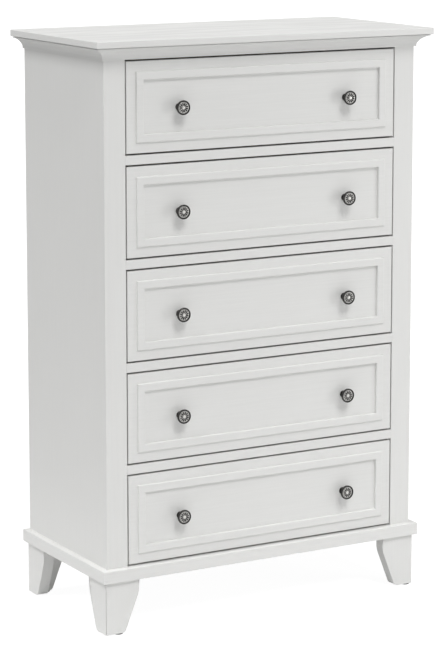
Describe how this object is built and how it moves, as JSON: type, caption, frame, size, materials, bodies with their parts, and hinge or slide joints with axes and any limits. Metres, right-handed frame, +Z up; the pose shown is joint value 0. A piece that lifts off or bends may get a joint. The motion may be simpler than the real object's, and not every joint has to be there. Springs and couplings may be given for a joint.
{
  "type": "tall chest of drawers",
  "caption": "Tall free-standing chest of drawers with framed inset fronts, round knobs, cove cornice and tapered bracket feet; every drawer slides.",
  "frame": {"origin": "on the floor, under the middle of the chest", "axes": "+Z up, drawer fronts face -Y, +X to the right as seen from the front"},
  "size_m": [0.8, 0.4, 1.22],
  "materials": {
    "white_paint": "satin white paint on wood",
    "drawer_wood": "clear-finished pale wood",
    "back_board": "plain hardboard",
    "runner_steel": "zinc plated",
    "dark_pewter": "antique pewter, worn on the high points",
    "glide_plastic": "matte"
  },
  "bodies": {
    "case": {"top_panel": "white_paint", "cornice_front": "white_paint", "cornice_left": "white_paint", "cornice_right": "white_paint", "side_panel_left": "white_paint", "side_panel_right": "white_paint", "stile_left": "white_paint", "stile_right": "white_paint", "drawer_rails": "white_paint", "top_rail": "white_paint", "bottom_panel": "white_paint", "plinth_front": "white_paint", "plinth_left": "white_paint", "plinth_right": "white_paint", "plinth_back": "white_paint", "foot_front_left": "white_paint", "foot_front_right": "white_paint", "foot_back_left": "white_paint", "foot_back_right": "white_paint", "back_panel": "back_board", "runner_cleats": "drawer_wood", "runner_channels": "runner_steel", "foot_glides": "glide_plastic"},
    "drawer_1": {"drawer_1_front": "white_paint", "drawer_1_side_left": "drawer_wood", "drawer_1_side_right": "drawer_wood", "drawer_1_back": "drawer_wood", "drawer_1_bottom": "drawer_wood", "drawer_1_knobs": "dark_pewter", "drawer_1_runners": "runner_steel"},
    "drawer_2": {"drawer_2_front": "white_paint", "drawer_2_side_left": "drawer_wood", "drawer_2_side_right": "drawer_wood", "drawer_2_back": "drawer_wood", "drawer_2_bottom": "drawer_wood", "drawer_2_knobs": "dark_pewter", "drawer_2_runners": "runner_steel"},
    "drawer_3": {"drawer_3_front": "white_paint", "drawer_3_side_left": "drawer_wood", "drawer_3_side_right": "drawer_wood", "drawer_3_back": "drawer_wood", "drawer_3_bottom": "drawer_wood", "drawer_3_knobs": "dark_pewter", "drawer_3_runners": "runner_steel"},
    "drawer_4": {"drawer_4_front": "white_paint", "drawer_4_side_left": "drawer_wood", "drawer_4_side_right": "drawer_wood", "drawer_4_back": "drawer_wood", "drawer_4_bottom": "drawer_wood", "drawer_4_knobs": "dark_pewter", "drawer_4_runners": "runner_steel"},
    "drawer_5": {"drawer_5_front": "white_paint", "drawer_5_side_left": "drawer_wood", "drawer_5_side_right": "drawer_wood", "drawer_5_back": "drawer_wood", "drawer_5_bottom": "drawer_wood", "drawer_5_knobs": "dark_pewter", "drawer_5_runners": "runner_steel"}
  },
  "joints": [
    {"name": "drawer_1_slide", "type": "slide", "parent": "case", "child": "drawer_1", "axis": [0, -1, 0], "range_m": [0, 0.23]},
    {"name": "drawer_2_slide", "type": "slide", "parent": "case", "child": "drawer_2", "axis": [0, -1, 0], "range_m": [0, 0.23]},
    {"name": "drawer_3_slide", "type": "slide", "parent": "case", "child": "drawer_3", "axis": [0, -1, 0], "range_m": [0, 0.23]},
    {"name": "drawer_4_slide", "type": "slide", "parent": "case", "child": "drawer_4", "axis": [0, -1, 0], "range_m": [0, 0.23]},
    {"name": "drawer_5_slide", "type": "slide", "parent": "case", "child": "drawer_5", "axis": [0, -1, 0], "range_m": [0, 0.23]}
  ]
}
